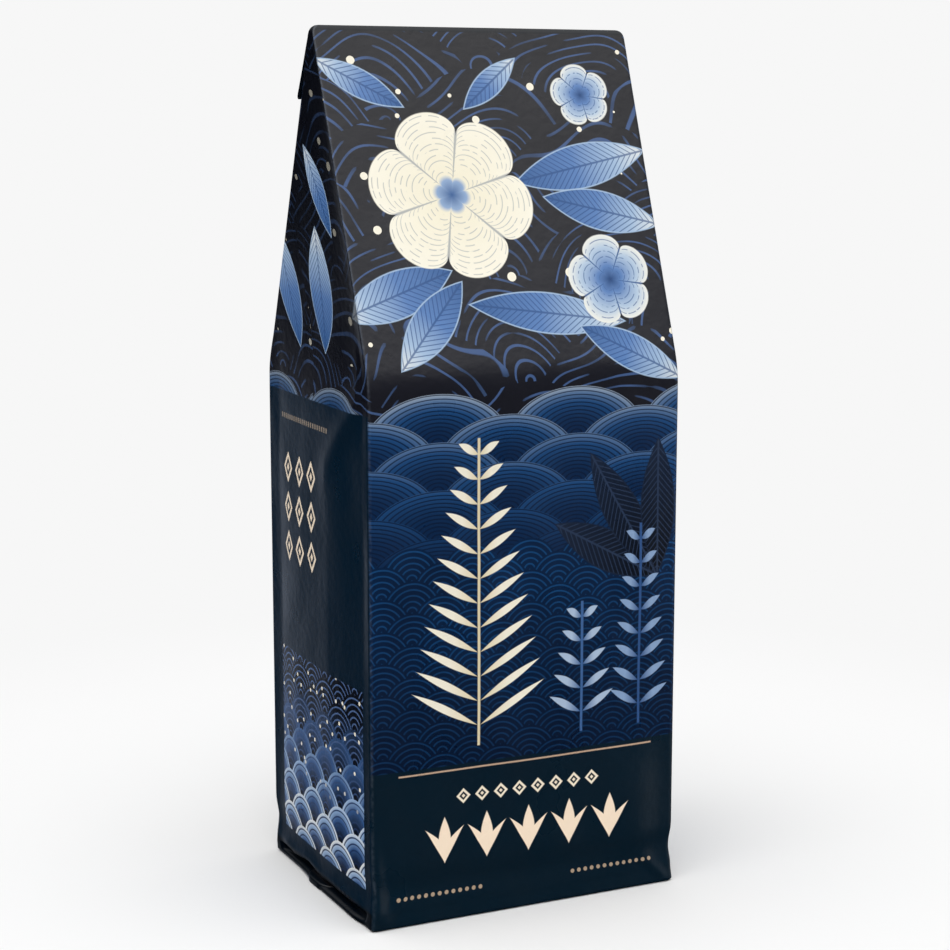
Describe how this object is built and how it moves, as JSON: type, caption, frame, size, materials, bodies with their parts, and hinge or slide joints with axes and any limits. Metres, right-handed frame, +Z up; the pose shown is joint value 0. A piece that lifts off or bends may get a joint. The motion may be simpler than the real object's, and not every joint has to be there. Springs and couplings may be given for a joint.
{
  "type": "coffee bag",
  "caption": "Filled and shut side-gusset coffee bag that stands on its folded base, with a wedge-shaped top folded over to the back.",
  "frame": {"origin": "centre of the base, on the surface the bag stands on", "axes": "+Z up along the bag's height, +X to the right across the front panel, +Y from the front panel to the back one, where the top's flap hangs"},
  "size_m": [0.0876, 0.0694, 0.221],
  "materials": {
    "printed_film": "satin laminated packing film with a dark blue and cream print"
  },
  "bodies": {
    "root": {"bag": "printed_film"}
  },
  "joints": []
}
